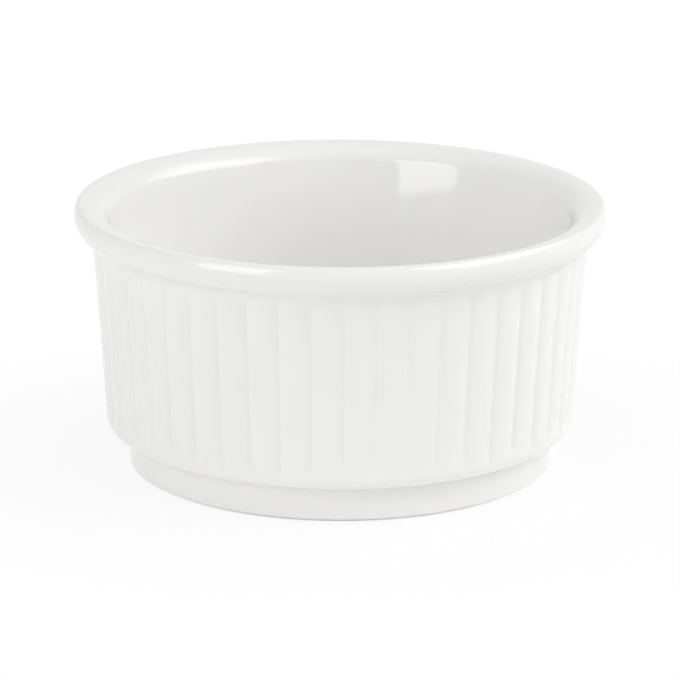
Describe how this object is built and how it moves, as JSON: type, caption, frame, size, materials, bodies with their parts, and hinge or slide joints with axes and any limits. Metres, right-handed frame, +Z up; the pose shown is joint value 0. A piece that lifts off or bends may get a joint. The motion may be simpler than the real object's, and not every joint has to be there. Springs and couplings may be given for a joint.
{
  "type": "ramekin",
  "caption": "Small round white porcelain baking dish with a reeded wall that widens upwards, a rolled lip and a plain foot band.",
  "frame": {"origin": "middle of the circle that the foot ring stands on", "axes": "+Z up along the dish's axis, out of its mouth"},
  "size_m": [0.09, 0.09, 0.0455],
  "materials": {
    "clay": "matt bare fired porcelain",
    "glaze": "clear gloss glaze over white porcelain"
  },
  "bodies": {
    "root": {"porcelain_body": "clay", "glaze_coat": "glaze", "base_glaze": "glaze"}
  },
  "joints": []
}
